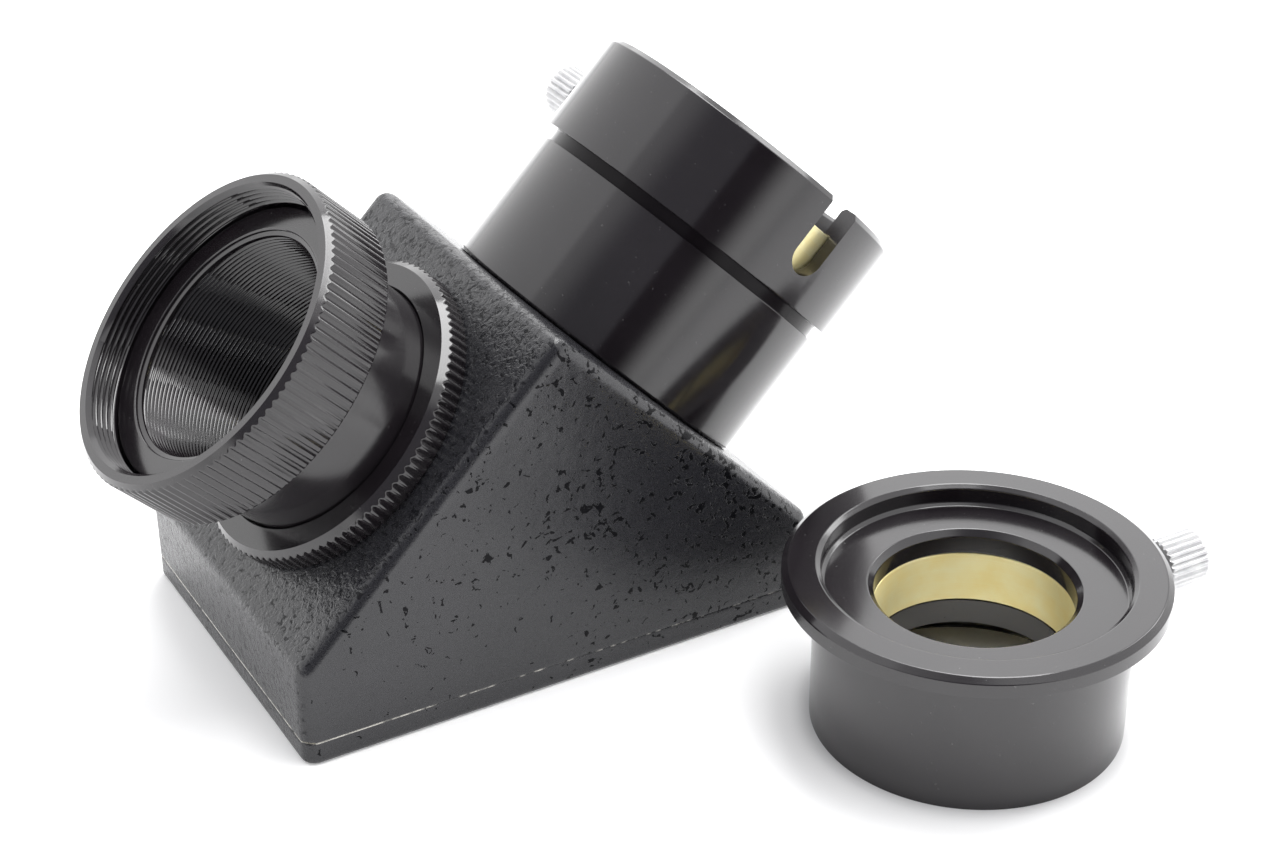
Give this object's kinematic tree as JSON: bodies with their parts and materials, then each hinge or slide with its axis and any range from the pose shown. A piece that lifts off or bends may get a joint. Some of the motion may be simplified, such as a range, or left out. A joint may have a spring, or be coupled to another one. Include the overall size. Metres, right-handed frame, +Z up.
{
  "type": "star diagonal",
  "caption": "Right-angle mirror star diagonal with a threaded telescope coupling, a clamping eyepiece socket and a loose step-down eyepiece adapter.",
  "frame": {"origin": "centre of the cover plate's bottom face, which the diagonal stands on", "axes": "+Z up, away from the cover plate; +X towards the eyepiece side; -X towards the telescope side; -Y is the side with the rim slot"},
  "size_m": [0.1628, 0.1567, 0.0922],
  "materials": {
    "wrinkle_enamel": "black textured enamel on die-cast alloy, satin",
    "plate_enamel": "black satin enamel, bright where the edge is rubbed",
    "black_anodised": "turned and black anodised",
    "silver_anodised": "fluted, clear anodised",
    "brass_band": "lightly brushed around the ring",
    "bright_steel": "bright threaded steel",
    "black_screw": "black oxide",
    "front_coating": "front-surface aluminised glass",
    "silicone_pad": "cured silicone"
  },
  "bodies": {
    "diagonal": {"housing": "wrinkle_enamel", "cover_plate": "plate_enamel", "cover_screw_1": "black_screw", "cover_screw_2": "black_screw", "cover_screw_3": "black_screw", "cover_screw_4": "black_screw", "mirror": "front_coating", "mirror_pad_1": "silicone_pad", "mirror_pad_2": "silicone_pad", "mirror_pad_3": "silicone_pad", "mirror_pad_4": "silicone_pad", "port_neck": "black_anodised", "eyepiece_holder": "black_anodised"},
    "coupling_ring": {"coupling_ring": "black_anodised"},
    "lock_ring": {"lock_ring": "black_anodised"},
    "holder_band": {"holder_band": "brass_band"},
    "holder_screw_stem": {"holder_screw_stem": "bright_steel"},
    "holder_screw_knob": {"holder_screw_knob": "silver_anodised"},
    "adapter": {"adapter_body": "black_anodised"},
    "adapter_band": {"adapter_band": "brass_band"},
    "adapter_screw_stem": {"adapter_screw_stem": "bright_steel"},
    "adapter_screw_knob": {"adapter_screw_knob": "silver_anodised"}
  },
  "joints": [
    {"name": "coupling_ring_turn", "type": "hinge", "parent": "diagonal", "child": "coupling_ring", "pos_m": [-0.04243, 0, 0.05983], "axis": [-0.7071, 0, 0.7071], "continuous": true},
    {"name": "lock_ring_turn", "type": "hinge", "parent": "diagonal", "child": "lock_ring", "pos_m": [-0.02517, 0, 0.04257], "axis": [-0.7071, 0, 0.7071], "range_deg": [0, 360]},
    {"name": "holder_band_play", "type": "slide", "parent": "diagonal", "child": "holder_band", "axis": [0, -1, 0], "range_m": [0, 0.00025]},
    {"name": "holder_screw_travel", "type": "slide", "parent": "diagonal", "child": "holder_screw_stem", "axis": [0, 1, 0], "range_m": [-0.0014, 0.0007]},
    {"name": "holder_screw_turn", "type": "hinge", "parent": "holder_screw_stem", "child": "holder_screw_knob", "pos_m": [0.04752, 0.0489, 0.06492], "axis": [0, 1, 0], "range_deg": [-721, 361]},
    {"name": "adapter_lift", "type": "slide", "parent": "diagonal", "child": "adapter", "axis": [0, 0, 1], "range_m": [0, 0.06]},
    {"name": "adapter_band_play", "type": "slide", "parent": "adapter", "child": "adapter_band", "axis": [-1, 0, 0], "range_m": [0, 0.00025]},
    {"name": "adapter_screw_travel", "type": "slide", "parent": "adapter", "child": "adapter_screw_stem", "axis": [1, 0, 0], "range_m": [-0.0035, 0.0028]},
    {"name": "adapter_screw_turn", "type": "hinge", "parent": "adapter_screw_stem", "child": "adapter_screw_knob", "pos_m": [0.0932, -0.0727, 0.0157], "axis": [1, 0, 0], "range_deg": [-1801, 1441]}
  ],
  "couplings": [
    {"joint": "holder_screw_turn", "follows": "holder_screw_travel", "rad_per_m": 8976},
    {"joint": "adapter_screw_turn", "follows": "adapter_screw_travel", "rad_per_m": 8976}
  ]
}
